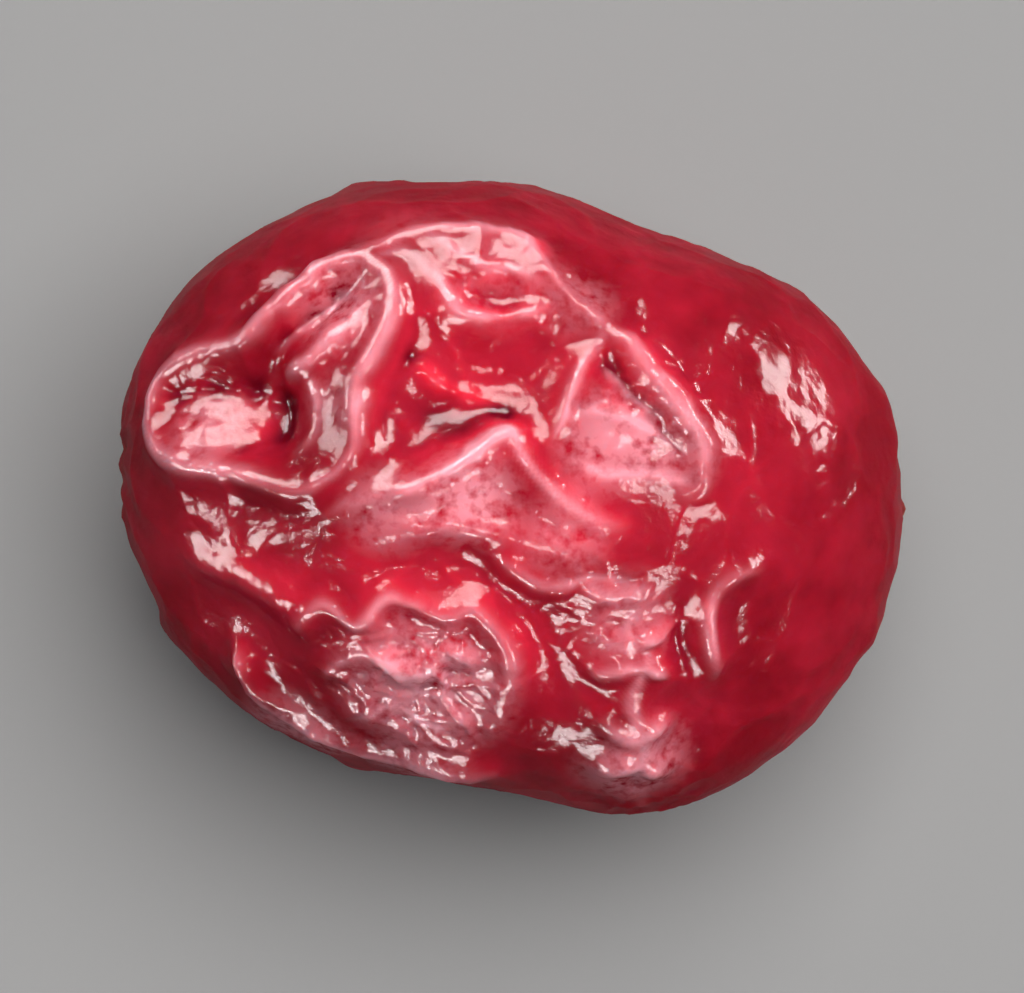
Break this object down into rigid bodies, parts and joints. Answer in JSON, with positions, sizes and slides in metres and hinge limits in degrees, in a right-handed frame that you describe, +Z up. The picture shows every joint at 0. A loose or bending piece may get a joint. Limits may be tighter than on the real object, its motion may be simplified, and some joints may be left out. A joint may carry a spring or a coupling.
{
  "type": "dried cranberry",
  "caption": "Whole dried cranberry: a plump oval fruit with glossy skin, a caved-in top crossed by thin sharp crests, and a flat underside to lie on.",
  "frame": {"origin": "on the surface the berry lies on, under the middle of its outline seen from above", "axes": "+X along the berry's length towards its blossom end, +Z up out of the caved-in top, which is the side the picture shows"},
  "size_m": [0.014, 0.0112, 0.0089],
  "materials": {
    "berry_skin": "glossy, moist, slightly translucent crimson fruit skin, darker in the folds and paler along the crests"
  },
  "bodies": {
    "root": {"cranberry": "berry_skin"}
  },
  "joints": []
}
